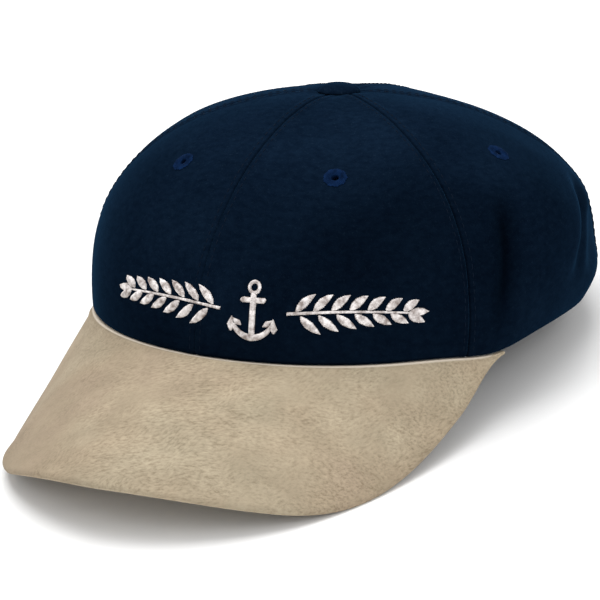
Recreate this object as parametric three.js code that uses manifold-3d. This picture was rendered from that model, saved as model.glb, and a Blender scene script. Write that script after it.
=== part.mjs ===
// A soft six-panel cap with a low crown, a covered button, six sewn eyelets and a stiff suede peak.
// Millimetres, +Z up, peak towards -Y, the wearer's left towards +X.
// The cap is drawn with its rim level, and then tipped back until it rests on a table
// on the back of its rim and on the two corners of its peak.

import * as THREE from 'three';
import { mergeVertices } from 'three/addons/utils/BufferGeometryUtils.js';
import Module from 'manifold-3d';

const { degToRad, lerp, smoothstep } = THREE.MathUtils;

// Rim: an egg that is wider in front, rises a little at the sides and dips above the ends of the peak.
const RIM_HALF_LENGTH = 101;
const RIM_HALF_WIDTH = 85;
const RIM_FRONT_FULLNESS = 0.143;
const RIM_SIDE_RISE = 0.5;
const RIM_DIP = 2.5;
const RIM_DIP_ANGLE = degToRad( 68 );
const RIM_DIP_WIDTH = degToRad( 11 );

// Crown: six cloth panels that run from the rim up to the button.
const CROWN_HEIGHT = 79;
const CROWN_TOP_SWELL = 0.5;
const BUTTON_FORWARD = 7.7;
const CLOTH_THICKNESS = 1.8;
const SEAM_GAP = 0.3;
const PANEL_SWELL = 0.01;
const FRONT_PANEL_SPREAD = degToRad( 1.6 );
const PANEL_TOP = 0.975;
const PANEL_ROWS = 13;

// Upright sections of the crown, by their angle from the front.
// lean: swell of the wall past the rim, as a share of the rim's reach.
// shoulder: height of the steep wall, as a share of the crown's height.
// reach: how far out the top stays flat, as a share of the rim's reach.
const CROWN_SECTIONS = [
	{ angle: 0, lean: 0.006, shoulder: 0.48, reach: 0.601 },
	{ angle: 60, lean: 0.12, shoulder: 0.767, reach: 0.401 },
	{ angle: 105, lean: 0.351, shoulder: 0.676, reach: 0.49 },
	{ angle: 180, lean: 0.048, shoulder: 0.589, reach: 0.555 },
];

// Folds of the soft side wall: each runs from a low end to a high end, given as an angle round the crown
// and a share of the way up. width: half-width in degrees. depth: millimetres, inwards if negative.
// ridge: how strongly the cloth stands up on both sides of the fold.
const CROWN_FOLDS = [
	{ lowAngle: 70, low: 0.07, highAngle: 75.4, high: 0.37, width: 3.4, depth: -5.0, ridge: 1.0 },
	{ lowAngle: 61.5, low: 0.12, highAngle: 69, high: 0.42, width: 2.6, depth: -1.0, ridge: 0.8 },
	{ lowAngle: 97, low: 0.12, highAngle: 109, high: 0.36, width: 4.5, depth: -2.6, ridge: 1 },
	{ lowAngle: 111, low: -0.08, highAngle: 114, high: 0.16, width: 13, depth: 3.2, ridge: 0 },
];

const PANELS = [
	{ name: 'crown_front_left', from: 0, to: 60, columns: 16 },
	{ name: 'crown_side_left', from: 60, to: 120, columns: 22 },
	{ name: 'crown_back_left', from: 120, to: 180, columns: 16 },
	{ name: 'crown_back_right', from: - 180, to: - 120, columns: 16 },
	{ name: 'crown_side_right', from: - 120, to: - 60, columns: 16 },
	{ name: 'crown_front_right', from: - 60, to: 0, columns: 16 },
];

// Eyelets: a ring of thread through a hole in the middle of each panel.
const EYELET_HEIGHT = 0.52;
const EYELET_SIDES = 12;
const EYELET_CLOTH_HOLE = 2.4;
const EYELET_PROFILE = [
	{ radius: 1.4, height: - 2.85 },
	{ radius: 3.3, height: - 2.85 },
	{ radius: 3.3, height: - 2.15 },
	{ radius: 2.1, height: - 2.15 },
	{ radius: 2.1, height: 0.35 },
	{ radius: 5.0, height: 0.35 },
	{ radius: 4.6, height: 0.9 },
	{ radius: 3.2, height: 1.15 },
	{ radius: 1.9, height: 1.0 },
	{ radius: 1.4, height: 0.5 },
];

// Button: a covered dome above the meeting of the panels, with its shank and washer below.
const BUTTON_SIDES = 20;
const BUTTON_PROFILE = [
	{ radius: 0, height: - 3.2 },
	{ radius: 5.5, height: - 3.2 },
	{ radius: 5.5, height: - 2.4 },
	{ radius: 2.2, height: - 2.4 },
	{ radius: 2.2, height: 0.4 },
	{ radius: 7.6, height: 0.4 },
	{ radius: 8.0, height: 0.9 },
	{ radius: 7.2, height: 2.0 },
	{ radius: 5.2, height: 2.9 },
	{ radius: 2.6, height: 3.35 },
	{ radius: 0, height: 3.45 },
];

// Peak: a stiff crescent, sewn under the front of the rim, that slopes down and is rolled about a
// fore-and-aft axis. Its board thins out towards both ends. Its front edge is a little uneven: it reaches
// further on the wearer's right.
const PEAK_END = degToRad( 69 );
const PEAK_FRONT = 160.5;
const PEAK_SLOPE = degToRad( 26 );
const PEAK_ROLL_RADIUS = 95.2;
const PEAK_ROLL_TIGHTENING = 0.0033;
const PEAK_CAMBER = 1.5;
const PEAK_THICKNESS = 3;
const PEAK_END_THICKNESS = 1.4;
const PEAK_EDGE_ROUND = 1.2;
const PEAK_EDGE_BLUNT = 0.35;
const PEAK_CORNER_ACROSS = 1.815;
const PEAK_CORNER_ALONG = 3.042;
const PEAK_WAIST = 2.2;
const PEAK_LIP = 1.5;
const PEAK_SEAT_GAP = 0.3;
const PEAK_UNEVEN = 3.3;
const PEAK_UNEVEN_FROM = 60;
const PEAK_TABLE_SLOPE = 0.1965;
const PEAK_COLUMNS = 40;
const PEAK_ROWS = 8;

// Back of the hem: where the cap rests, the soft cloth lies flat on the table.
// The shares are of the rim's length, from the back.
const HEM_FLAT = 0.012;
const HEM_FREE = 0.2;

const TWILL = new THREE.MeshStandardMaterial( { color: 0x13253a, roughness: 0.92, metalness: 0 } );
const SUEDE = new THREE.MeshStandardMaterial( { color: 0xb8a98f, roughness: 0.95, metalness: 0 } );
const THREAD = new THREE.MeshStandardMaterial( { color: 0x16324f, roughness: 0.7, metalness: 0 } );

const wasm = await Module();
wasm.setup();

// Geometry helpers

function bezier( a, b, c, d, t ) {

	const s = 1 - t;
	return a * s ** 3 + 3 * b * t * s ** 2 + 3 * c * t ** 2 * s + d * t ** 3;

}

// Keeps only the positions and shares the vertices, so that the mesh is one closed body.
function closedBody( geometry ) {

	geometry.deleteAttribute( 'normal' );
	geometry.deleteAttribute( 'uv' );
	return mergeVertices( geometry );

}

// Closes two matching grids of points, a front and a back, into one sheet with a wall round its four sides.
function closedSheet( front, back, columns, rows ) {

	const positions = [ ...front, ...back ].flatMap( ( p ) => [ p.x, p.y, p.z ] );
	const behind = front.length;
	const index = [];
	const quad = ( a, b, c, d ) => index.push( a, b, c, a, c, d );
	const at = ( column, row ) => row * ( columns + 1 ) + column;

	for ( let row = 0; row < rows; row ++ ) {

		for ( let column = 0; column < columns; column ++ ) {

			const [ a, b ] = [ at( column, row ), at( column + 1, row ) ];
			const [ d, c ] = [ at( column, row + 1 ), at( column + 1, row + 1 ) ];
			quad( a, b, c, d );
			quad( behind + a, behind + d, behind + c, behind + b );

		}

	}

	const border = [];
	for ( let column = 0; column < columns; column ++ ) border.push( at( column, 0 ) );
	for ( let row = 0; row < rows; row ++ ) border.push( at( columns, row ) );
	for ( let column = columns; column > 0; column -- ) border.push( at( column, rows ) );
	for ( let row = rows; row > 0; row -- ) border.push( at( 0, row ) );
	border.forEach( ( a, i ) => {

		const b = border[ ( i + 1 ) % border.length ];
		quad( a, behind + a, behind + b, b );

	} );

	const geometry = new THREE.BufferGeometry();
	geometry.setAttribute( 'position', new THREE.Float32BufferAttribute( positions, 3 ) );
	geometry.setIndex( index );
	return geometry;

}

function turned( profile, sides, closed ) {

	const points = profile.map( ( { radius, height } ) => new THREE.Vector2( radius, height ) );
	if ( closed ) points.push( points[ 0 ].clone() );
	return closedBody( new THREE.LatheGeometry( points, sides ).rotateX( Math.PI / 2 ) );

}

function toManifold( geometry ) {

	return new wasm.Manifold( new wasm.Mesh( {
		numProp: 3,
		vertProperties: new Float32Array( geometry.attributes.position.array ),
		triVerts: new Uint32Array( geometry.index.array ),
	} ) );

}

function fromManifold( solid ) {

	const { vertProperties, triVerts } = solid.getMesh();
	const geometry = new THREE.BufferGeometry();
	geometry.setAttribute( 'position', new THREE.BufferAttribute( vertProperties, 3 ) );
	geometry.setIndex( new THREE.BufferAttribute( triVerts, 1 ) );
	return geometry;

}

// Rim

function rimAngle( round ) {

	return round + FRONT_PANEL_SPREAD * Math.sin( round );

}

function rimPoint( round ) {

	const angle = rimAngle( round );
	const dip = Math.exp( - ( ( ( Math.abs( round ) - RIM_DIP_ANGLE ) / RIM_DIP_WIDTH ) ** 2 ) );
	return new THREE.Vector3(
		RIM_HALF_WIDTH * Math.sin( angle ) * ( 1 + RIM_FRONT_FULLNESS * Math.cos( angle ) ),
		- RIM_HALF_LENGTH * Math.cos( angle ),
		RIM_SIDE_RISE * Math.sin( angle ) ** 2 - RIM_DIP * dip,
	);

}

// The level direction that leads straight out of the rim.
function rimOutward( round ) {

	const step = 0.001;
	const along = rimPoint( round + step ).sub( rimPoint( round - step ) );
	return new THREE.Vector3( along.y, - along.x, 0 ).normalize();

}

// Height of the cut edge of the crown at one place: level in front, and on the table at the back.
function hemHeight( round, y ) {

	const fromBack = ( 1 + Math.cos( rimAngle( round ) ) ) / 2;
	const free = smoothstep( fromBack, HEM_FLAT, HEM_FREE );
	return lerp( ( y - RIM_HALF_LENGTH ) * Math.tan( tip ), rimPoint( round ).z, free );

}

// Crown

// A smooth value between the rows of the crown's sections: the cubic in the cosine through all four.
function sectionValue( name, angle ) {

	const cosines = CROWN_SECTIONS.map( ( row ) => Math.cos( degToRad( row.angle ) ) );
	return CROWN_SECTIONS.reduce( ( sum, row, i ) => {

		const share = cosines.reduce( ( product, cosine, j ) => (
			j === i ? product : product * ( Math.cos( angle ) - cosine ) / ( cosines[ i ] - cosine )
		), 1 );
		return sum + row[ name ] * share;

	}, 0 );

}

function foldDepth( round, up ) {

	return CROWN_FOLDS.reduce( ( sum, fold ) => {

		const along = ( up - fold.low ) / ( fold.high - fold.low );
		const middle = degToRad( lerp( fold.lowAngle, fold.highAngle, along ) );
		const across = ( round - middle ) / degToRad( fold.width );
		const fade = Math.exp( - ( ( 2 * along - 1 ) ** 4 ) );
		return sum + fold.depth * fade * ( 1 - fold.ridge * across ** 2 ) * Math.exp( - ( across ** 2 ) );

	}, 0 );

}

// Outer face of the crown: round is the angle from the front, up runs from 0 at the rim to 1 at the button.
// Each upright section is a cubic curve, swollen between the seams and pushed in by the folds.
function crownPoint( round, up ) {

	const angle = rimAngle( round );
	const foot = rimPoint( round );
	foot.z = hemHeight( round, foot.y );
	const swell = 1 + PANEL_SWELL * Math.abs( Math.sin( 3 * round ) ) * Math.sin( Math.PI * up );
	const lean = sectionValue( 'lean', angle );
	const reach = swell * bezier( 1, 1 + lean, sectionValue( 'reach', angle ), 0, up );
	const shoulder = lerp( foot.z, CROWN_HEIGHT, sectionValue( 'shoulder', angle ) );
	const out = new THREE.Vector3( foot.x, foot.y + BUTTON_FORWARD, 0 ).multiplyScalar( reach );
	out.setLength( out.length() + foldDepth( round, up ) );
	return out.add( new THREE.Vector3(
		0,
		- BUTTON_FORWARD,
		bezier( foot.z, shoulder, CROWN_HEIGHT + CROWN_TOP_SWELL, CROWN_HEIGHT, up ),
	) );

}

function crownNormal( round, up ) {

	const step = 0.002;
	const across = crownPoint( round + step, up ).sub( crownPoint( round - step, up ) );
	const upwards = crownPoint( round, up + step ).sub( crownPoint( round, up - step ) );
	return across.cross( upwards ).normalize();

}

// Inner face of the crown: a cloth thickness behind the outer face, with a flat cut edge at the rim.
function liningPoint( round, up ) {

	const point = crownPoint( round, up );
	if ( up > 0 ) return point.addScaledVector( crownNormal( round, up ), - CLOTH_THICKNESS );
	point.addScaledVector( rimOutward( round ), - CLOTH_THICKNESS );
	point.z = hemHeight( round, point.y );
	return point;

}

function panelGeometry( { from, to, columns } ) {

	const front = [];
	const back = [];
	const inset = ( seam, up ) => {

		const { x, y } = crownPoint( seam, up );
		return SEAM_GAP / 2 / Math.hypot( x, y + BUTTON_FORWARD );

	};

	for ( let row = 0; row <= PANEL_ROWS; row ++ ) {

		const up = PANEL_TOP * row / PANEL_ROWS;
		const start = degToRad( from ) + inset( degToRad( from ), up );
		const end = degToRad( to ) - inset( degToRad( to ), up );
		for ( let column = 0; column <= columns; column ++ ) {

			const round = lerp( start, end, column / columns );
			front.push( crownPoint( round, up ) );
			back.push( liningPoint( round, up ) );

		}

	}

	return closedSheet( front, back, columns, PANEL_ROWS );

}

// Places a piece so that its own +Z leaves the crown at right angles.
function seatOnCrown( object, round, up ) {

	object.position.copy( crownPoint( round, up ) );
	object.quaternion.setFromUnitVectors( new THREE.Vector3( 0, 0, 1 ), crownNormal( round, up ) );
	return object;

}

function cutEyeletHole( geometry, round ) {

	const length = 12;
	const drill = new THREE.CylinderGeometry( EYELET_CLOTH_HOLE, EYELET_CLOTH_HOLE, length, EYELET_SIDES );
	drill.rotateX( Math.PI / 2 );
	const place = seatOnCrown( new THREE.Object3D(), round, EYELET_HEIGHT );
	place.updateMatrix();
	drill.applyMatrix4( place.matrix );
	return fromManifold( toManifold( geometry ).subtract( toManifold( closedBody( drill ) ) ) );

}

function crown() {

	const group = new THREE.Group();
	for ( const panel of PANELS ) {

		const middle = degToRad( ( panel.from + panel.to ) / 2 );
		const cloth = new THREE.Mesh( cutEyeletHole( panelGeometry( panel ), middle ), TWILL );
		cloth.name = panel.name;
		const eyelet = new THREE.Mesh( turned( EYELET_PROFILE, EYELET_SIDES, true ), THREAD );
		eyelet.name = panel.name.replace( 'crown', 'eyelet' );
		group.add( cloth, seatOnCrown( eyelet, middle, EYELET_HEIGHT ) );

	}

	return group;

}

function button() {

	const mesh = new THREE.Mesh( turned( BUTTON_PROFILE, BUTTON_SIDES, false ), TWILL );
	mesh.name = 'button';
	mesh.position.set( 0, - BUTTON_FORWARD, CROWN_HEIGHT );
	return mesh;

}

// Peak

// Half of the peak's outline in plan, from its end at the rim to the middle of its front edge:
// a superellipse, drawn in a little along its side.
class PeakOutline extends THREE.Curve {

	getPoint( share, target = new THREE.Vector2() ) {

		const end = rimPoint( PEAK_END ).addScaledVector( rimOutward( PEAK_END ), PEAK_LIP );
		const turn = share * Math.PI / 2;
		const forward = Math.sin( turn ) ** ( 2 / PEAK_CORNER_ALONG );
		const side = end.x * Math.max( Math.cos( turn ), 0 ) ** ( 2 / PEAK_CORNER_ACROSS );
		return target.set(
			side - PEAK_WAIST * 4 * forward * ( 1 - forward ),
			lerp( end.y, - PEAK_FRONT, forward ),
		);

	}

}

const peakOutline = new PeakOutline();

function peakRoll( y ) {

	return PEAK_ROLL_RADIUS * ( 1 + PEAK_ROLL_TIGHTENING * ( y + RIM_HALF_LENGTH ) );

}

// Height of the rolled and sloping board that the peak is cut from.
function boardHeight( x, y ) {

	const roll = peakRoll( y );
	return Math.tan( PEAK_SLOPE ) * ( y + RIM_HALF_LENGTH ) - roll + Math.sqrt( roll ** 2 - x ** 2 );

}

function boardNormal( x, y ) {

	const step = 0.1;
	return new THREE.Vector3(
		( boardHeight( x - step, y ) - boardHeight( x + step, y ) ) / ( 2 * step ),
		( boardHeight( x, y - step ) - boardHeight( x, y + step ) ) / ( 2 * step ),
		1,
	).normalize();

}

// How much further out the edge lies than the even outline.
function edgeShift( along, edge ) {

	const share = smoothstep( - along, - 0.38, 0.08 ) * ( 1 - smoothstep( - along, 0.48, 0.68 ) );
	return new THREE.Vector2( edge.x, edge.y + PEAK_UNEVEN_FROM ).setLength( PEAK_UNEVEN * share );

}

// Upper face of the peak: along runs from -1 to 1 between its ends, out from 0 at the rim to 1 at the edge.
// It lies on the board, but for its uneven corner, which stays as high above the table as the other one,
// and for its ends, which rise to the rim.
function peakPoint( along, out ) {

	const root = rimPoint( PEAK_END * along );
	const edge = peakOutline.getPointAt( 1 - Math.abs( along ) );
	edge.x *= Math.sign( along );
	const shift = edgeShift( along, edge ).multiplyScalar( out );
	const evenX = lerp( root.x, edge.x, out );
	const evenY = lerp( root.y, edge.y, out );
	const x = evenX + shift.x;
	const y = evenY + shift.y;
	const onBoard = smoothstep( along, - 0.47, - 0.3 );
	const evenHeight = boardHeight( evenX, evenY ) + PEAK_TABLE_SLOPE * ( y - evenY );
	const height = lerp( evenHeight, boardHeight( x, y ), onBoard );
	const atEnd = smoothstep( Math.abs( along ), 0.86, 1 );
	const lift = ( root.z - boardHeight( root.x, root.y ) ) * lerp( ( 1 - out ) ** 2, 1, atEnd );
	const camber = 4 * PEAK_CAMBER * out * ( 1 - out ) * ( 1 - along ** 2 );
	return new THREE.Vector3( x, y, height + lift + camber - PEAK_SEAT_GAP );

}

function peakGeometry() {

	const front = [];
	const back = [];
	const addPair = ( point, upper, lower ) => {

		const normal = boardNormal( point.x, point.y );
		front.push( point.clone().addScaledVector( normal, - upper ) );
		back.push( point.clone().addScaledVector( normal, - lower ) );

	};

	for ( let column = 0; column <= PEAK_COLUMNS; column ++ ) {

		const along = 2 * column / PEAK_COLUMNS - 1;
		const thickness = lerp( PEAK_THICKNESS, PEAK_END_THICKNESS, along ** 8 );
		const root = peakPoint( along, 0 );
		const edge = peakPoint( along, 1 );
		const length = Math.hypot( edge.x - root.x, edge.y - root.y );
		const tongue = root.clone().addScaledVector( rimOutward( PEAK_END * along ), - CLOTH_THICKNESS );
		addPair( tongue, 0, thickness );
		for ( let row = 0; row <= PEAK_ROWS; row ++ ) {

			addPair( peakPoint( along, ( 1 - PEAK_EDGE_ROUND / length ) * row / PEAK_ROWS ), 0, thickness );

		}

		addPair( edge, PEAK_EDGE_BLUNT * thickness, ( 1 - PEAK_EDGE_BLUNT ) * thickness );

	}

	return closedSheet( front, back, PEAK_ROWS + 2, PEAK_COLUMNS );

}

// Angle by which the cap tips back before the lowest point of its peak meets the table.
function restTip( geometry ) {

	const { array } = geometry.attributes.position;
	let steepest = 0;
	for ( let i = 0; i < array.length; i += 3 ) {

		steepest = Math.max( steepest, Math.atan2( - array[ i + 2 ], RIM_HALF_LENGTH - array[ i + 1 ] ) );

	}

	return steepest;

}

const peakSolid = peakGeometry();
const tip = restTip( peakSolid );

function peak() {

	const mesh = new THREE.Mesh( peakSolid, SUEDE );
	mesh.name = 'peak';
	return mesh;

}

// The whole cap, tipped onto its three resting places and centred over its footprint

const cap = new THREE.Group();
cap.add( crown(), button(), peak() );
cap.rotation.x = - tip;
cap.position.z = RIM_HALF_LENGTH * Math.sin( tip );
cap.updateMatrixWorld( true );
cap.position.y = - new THREE.Box3().setFromObject( cap, true ).getCenter( new THREE.Vector3() ).y;

export default cap;
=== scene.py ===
import math

import bpy
import numpy as np
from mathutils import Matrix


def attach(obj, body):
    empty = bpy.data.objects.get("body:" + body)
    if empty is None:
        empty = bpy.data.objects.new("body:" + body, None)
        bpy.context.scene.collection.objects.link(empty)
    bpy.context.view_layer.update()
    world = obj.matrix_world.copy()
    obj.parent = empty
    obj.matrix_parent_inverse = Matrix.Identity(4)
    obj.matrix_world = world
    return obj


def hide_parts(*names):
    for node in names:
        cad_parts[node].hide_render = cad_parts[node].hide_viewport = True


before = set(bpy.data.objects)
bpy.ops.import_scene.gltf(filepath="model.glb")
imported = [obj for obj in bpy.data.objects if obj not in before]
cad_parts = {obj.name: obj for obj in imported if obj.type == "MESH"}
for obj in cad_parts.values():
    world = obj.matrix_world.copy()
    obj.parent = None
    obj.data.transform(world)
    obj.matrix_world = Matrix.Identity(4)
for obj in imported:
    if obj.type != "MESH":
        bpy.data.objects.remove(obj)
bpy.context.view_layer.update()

# A soft six-panel cap of navy brushed twill with a suede peak.
# Sizes are millimetres in the cap's own frame: the rim level, the peak towards -Y, the wearer's left
# towards +X. to_table tips the shapes onto the table and turns them into metres.

MM = 0.001
DEG = math.pi / 180

# Rim
RIM_HALF_LENGTH = 101.0
RIM_HALF_WIDTH = 85.0
RIM_FRONT_FULLNESS = 0.143
RIM_SIDE_RISE = 0.5
RIM_DIP = 2.5
RIM_DIP_ANGLE = 68 * DEG
RIM_DIP_WIDTH = 11 * DEG

# Crown
CROWN_HEIGHT = 79.0
CROWN_TOP_SWELL = 0.5
BUTTON_FORWARD = 7.7
CLOTH_THICKNESS = 1.8
PANEL_SWELL = 0.01
PANEL_TOP = 0.975
PANEL_HEIGHT = 130.0
FRONT_PANEL_SPREAD = 1.6 * DEG
HEM_FLAT = 0.012
HEM_FREE = 0.2

# Upright sections of the crown: lean and reach are shares of the rim's reach, and shoulder is a share of
# the crown's height.
SECTION_ANGLES = np.array([0.0, 60.0, 105.0, 180.0]) * DEG
CROWN_SECTIONS = {
    "lean": (0.006, 0.12, 0.351, 0.048),
    "shoulder": (0.48, 0.767, 0.676, 0.589),
    "reach": (0.601, 0.401, 0.49, 0.555),
}

# Folds: low angle, low share of the height, high angle, high share, half-width in degrees, depth, ridge.
MAIN_FOLDS = (
    (69.5, 0.07, 75.6, 0.37, 4.8, -2.5, 0.4),
    (69.5, 0.08, 75.0, 0.34, 3.4, -0.7, 0.0),
    (61.5, 0.12, 69.0, 0.42, 2.6, -1.0, 0.8),
    (97.0, 0.12, 109.0, 0.36, 4.5, -2.8, 1.0),
    (111.0, -0.115, 114.0, 0.13, 13.0, 3.4, 0.0),
    (108.0, 0.10, 112.0, 0.28, 9.0, -2.8, 0.0),
)

# Shade inside the folds, laid out like the folds: the depth is a share of the light that is lost.
FOLD_SHADES = (
    (68.2, 0.07, 74.2, 0.35, 3.4, 0.72, 0.0),
    (103.0, 0.10, 110.0, 0.36, 3.0, 0.25, 0.0),
)

PANELS = {
    "front_left": (0, 60),
    "side_left": (60, 120),
    "back_left": (120, 180),
    "back_right": (-180, -120),
    "side_right": (-120, -60),
    "front_right": (-60, 0),
}

# A panel's grid of points, and how much they crowd towards its edges
PANEL_ROWS = 128
PANEL_COLUMNS = 112
ROW_CROWDING = 0.75
COLUMN_CROWDING = 0.8

# How far the soft cloth swells past the plain crown
FULLNESS = 0.9

# Soft waves in the cloth, with less of them on the front
LONG_SLACK = 0.5
LONG_SLACK_PITCH = 46.0
SHORT_SLACK = 0.2
SHORT_SLACK_PITCH = 21.0
FRONT_SLACK = 0.25

# Rolled hem
HEM_ROLL = 0.85
HEM_ROLL_WIDTH = 0.8

# Seams and their stitches
SEAM_GAP = 0.004
SEAM_DIP = 0.7
SEAM_DIP_WIDTH = 0.45
FRONT_SEAM_PRESSED = 0.6
SEAM_WELT = 0.22
SEAM_WELT_WIDTH = 4.0
SEAM_WELT_EDGE = 1.2
STITCH_FROM_SEAM = 2.0
STITCH_PITCH = 2.9
STITCH_LENGTH = 2.1
STITCH_RADIUS = 0.17
STITCH_SIDES = 6
STITCH_START = 0.012
STITCH_STOP = 0.93
PUCKER = 0.08
PUCKER_PITCH = 7.0
PUCKER_REACH = 4.5

# Shares of the light that the cloth loses, and where
SEAM_SHADE = 0.25
SEAM_SHADE_WIDTH = 0.45
ABOVE_PEAK_SHADE = 0.2
ABOVE_PEAK_HEIGHT = 30.0
HEM_SHADE = 0.5
LOWER_SHADE = 0.27
PATCH_SHADE = 0.34
PATCH_ANGLE = 42 * DEG
PATCH_WIDTH = 28 * DEG
PATCH_UP = 0.28
PATCH_HEIGHT = 0.2

# A distance from the seams and the hem where they no longer shape the cloth
FAR = 20.0

# The radius that closes a turned profile at its pole
POLE = 0.02

# Eyelets: the angle and the share of the height of each one
EYELETS = {
    "front_left": (29.8, 0.525),
    "side_left": (87.0, 0.508),
    "back_left": (150.0, 0.520),
    "back_right": (-150.0, 0.520),
    "side_right": (-90.0, 0.520),
    "front_right": (-26.0, 0.522),
}
EYELET_RADIUS = 4.2
EYELET_HOLE = 1.35
EYELET_CLOTH_HOLE = 2.2
EYELET_DRILL = 6.0
EYELET_THREADS = 40
EYELET_SEAT = 0.05
EYELET_RISE = 0.4
EYELET_THREAD_RISE = 0.2

# Button
BUTTON_RADIUS = 8.0
BUTTON_RISE = 3.45
BUTTON_EDGE = 0.55
BUTTON_GATHER = 0.10
BUTTON_GATHERS = 15

# Peak
PEAK_COLUMNS = 300
PEAK_ROWS = 120
PEAK_EDGE_ROWS = 9
PEAK_END = 69 * DEG
PEAK_TUCK = 2.0 * DEG
PEAK_TUCK_NARROWING = 0.7
PEAK_FRONT = 160.5
PEAK_SLOPE = 26 * DEG
PEAK_ROLL_RADIUS = 95.2
PEAK_ROLL_TIGHTENING = 0.0033
PEAK_CAMBER = 1.5
PEAK_THICKNESS = 3.0
PEAK_END_THICKNESS = 1.4
PEAK_CORNER_ACROSS = 1.815
PEAK_CORNER_ALONG = 3.042
PEAK_WAIST = 2.2
PEAK_LIP = 1.5
PEAK_SEAT_GAP = 0.3
PEAK_UNEVEN = 3.3
PEAK_UNEVEN_FROM = 60.0
PEAK_TABLE_SLOPE = 0.1965
PEAK_SIDE_FULLNESS = 2.0
PEAK_SIDE_FULLNESS_AT = -0.78
PEAK_SIDE_FULLNESS_WIDTH = 0.14
PEAK_WAVE = 0.22
PEAK_WAVE_PITCH = 38.0

# The lower face's pattern lies this far from the crown's, so that it has no painted highlight line
PEAK_UNDERSIDE_AWAY = 100.0

# The suede is deeper towards the wearer's right and towards its front edge
SUEDE_RIGHT_SHADE = 0.2
SUEDE_FRONT_SHADE = 0.12

# A slim roll of the suede along its seam with the crown
PEAK_ROOT_ROLL = 0.45
PEAK_ROOT_ROLL_AT = 1.3
PEAK_ROOT_ROLL_WIDTH = 0.8

# Embroidered motif: how far its middle is round from the front seam and up from the hem, and the share of
# the crown's height at which its length is laid off
MOTIF_MIDDLE = 21.8
MOTIF_HEIGHT = 17.8
MOTIF_LEVEL = 0.13
SPRAY_START = 12.5
SPRAY_END = 55.0
SPRAY_BEND = 1.1
SPRAY_BEND_LENGTH = 13.5
LEAF_PAIRS = 7
LEAF_START = 14.5
LEAF_PITCH = 6.3
LEAF_LENGTH = 9.6
LEAF_SHORTENING = 0.45
LEAF_LEAN = 50.0
LEAF_LEAN_STEP = 2.5
LEAF_CURL = 0.35
LEAF_POINTS = 24

# Satin stitch of the motif
THREAD_PITCH = 0.42
THREAD_SLANT = 0.25
THREAD_RISE = 0.10
PAD_SEAT = 0.05
PAD_RISE = 1.0
PAD_FULL_WIDTH = 0.9
PAD_SINK = 0.5

# Bars of satin stitch: shares of their length, and their half-width at each share
BAR = ((0.0, 0.06, 0.94, 1.0), (0.55, 0.95, 0.95, 0.55))
ROPE = ((0.0, 1.0), (0.62, 0.62))
ARM = ((0.0, 0.7, 1.0), (1.2, 0.9, 0.6))
FLUKE = ((0.0, 0.35, 1.0), (0.3, 1.5, 0.1))
STEM = ((0.0, 1.0), (0.55, 0.35))
LEAF = ((0.0, 0.18, 0.45, 0.75, 1.0), (0.25, 1.15, 1.55, 1.05, 0.12))

# The photograph's view, against the level rim
VIEW_AZIMUTH = 33.15 * DEG
VIEW_ELEVATION = 14.25 * DEG
VIEW_TARGET = np.array([3.3, -38.7, 7.1])
VIEW_DISTANCE = 1200.0
VIEW_LENS = 197.2

# Rest on the table: the rim tips back by this angle, and moves back so that the cap stands centred.
TIP = 11.117 * DEG
FORE_AND_AFT = 32.3

# Studio, in metres and watts: half of the floor's side, the point that the lights face, and each light's
# place, size and power
FLOOR_HALF = 12.0
CAP_MIDDLE = (0.0, 0.0, 0.05)
SOFTBOXES = {
    "top_softbox": ((-0.2, 0.2, 1.5), 1.2, 18),
    "left_softbox": ((-1.2, -0.9, 0.9), 0.9, 2.5),
    "right_softbox": ((1.3, -0.3, 0.8), 0.9, 4.5),
}


# Shape helpers

def bezier(a, b, c, d, t):
    """Cubic curve from a to d, drawn towards b and c: each is weighed by its powers of t and 1 - t."""
    s = 1 - t
    return a * s**3 + 3 * b * t * s**2 + 3 * c * t**2 * s + d * t**3


def smoothstep(value, low, high):
    """0 below low and 1 above high, and in between three times the share squared less twice its cube."""
    t = np.clip((value - low) / (high - low), 0, 1)
    return t * t * (3 - 2 * t)


def unit(vectors):
    """Each vector divided by its own length."""
    return vectors / np.linalg.norm(vectors, axis=-1, keepdims=True)


def waves(points, length, seed):
    """Smooth unevenness, mostly between -1 and 1: twice the mean of nine plane waves of one length, whose
    directions and phases come from a fixed seed."""
    draw = np.random.RandomState(seed)
    count = 9
    directions = unit(draw.normal(size=(count, 3))) * (2 * math.pi / length)
    phases = draw.uniform(0, 2 * math.pi, count)
    return np.sin(points @ directions.T + phases).sum(-1) / (count / 2)


def path_length(points, axis):
    """Distance travelled along one axis of a grid of points, from its first row or column."""
    steps = np.linalg.norm(np.diff(points, axis=axis), axis=-1)
    travelled = np.cumsum(steps, axis=axis)
    first = np.zeros_like(np.take(travelled, [0], axis=axis))
    return np.concatenate([first, travelled], axis=axis)


def bunched(count, bunch):
    """Shares from 0 to 1 that crowd together at both ends: s less a sine of one turn."""
    s = np.linspace(0, 1, count)
    return s - bunch * np.sin(2 * math.pi * s) / (2 * math.pi)


# Rim and peak

def rim_angle(around):
    """The rim's own angle: a sine of the angle spreads the front seams."""
    return around + FRONT_PANEL_SPREAD * np.sin(around)


def rim(around):
    """The rim's outer line: a sine and a cosine of the angle, the sine fuller in front. It rises a little
    at the sides, by the sine squared, and dips as a bell above each end of the peak."""
    angle = rim_angle(around)
    dip = np.exp(-(((np.abs(around) - RIM_DIP_ANGLE) / RIM_DIP_WIDTH) ** 2))
    return np.stack([
        RIM_HALF_WIDTH * np.sin(angle) * (1 + RIM_FRONT_FULLNESS * np.cos(angle)),
        -RIM_HALF_LENGTH * np.cos(angle),
        RIM_SIDE_RISE * np.sin(angle) ** 2 - RIM_DIP * dip,
    ], -1)


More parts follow.
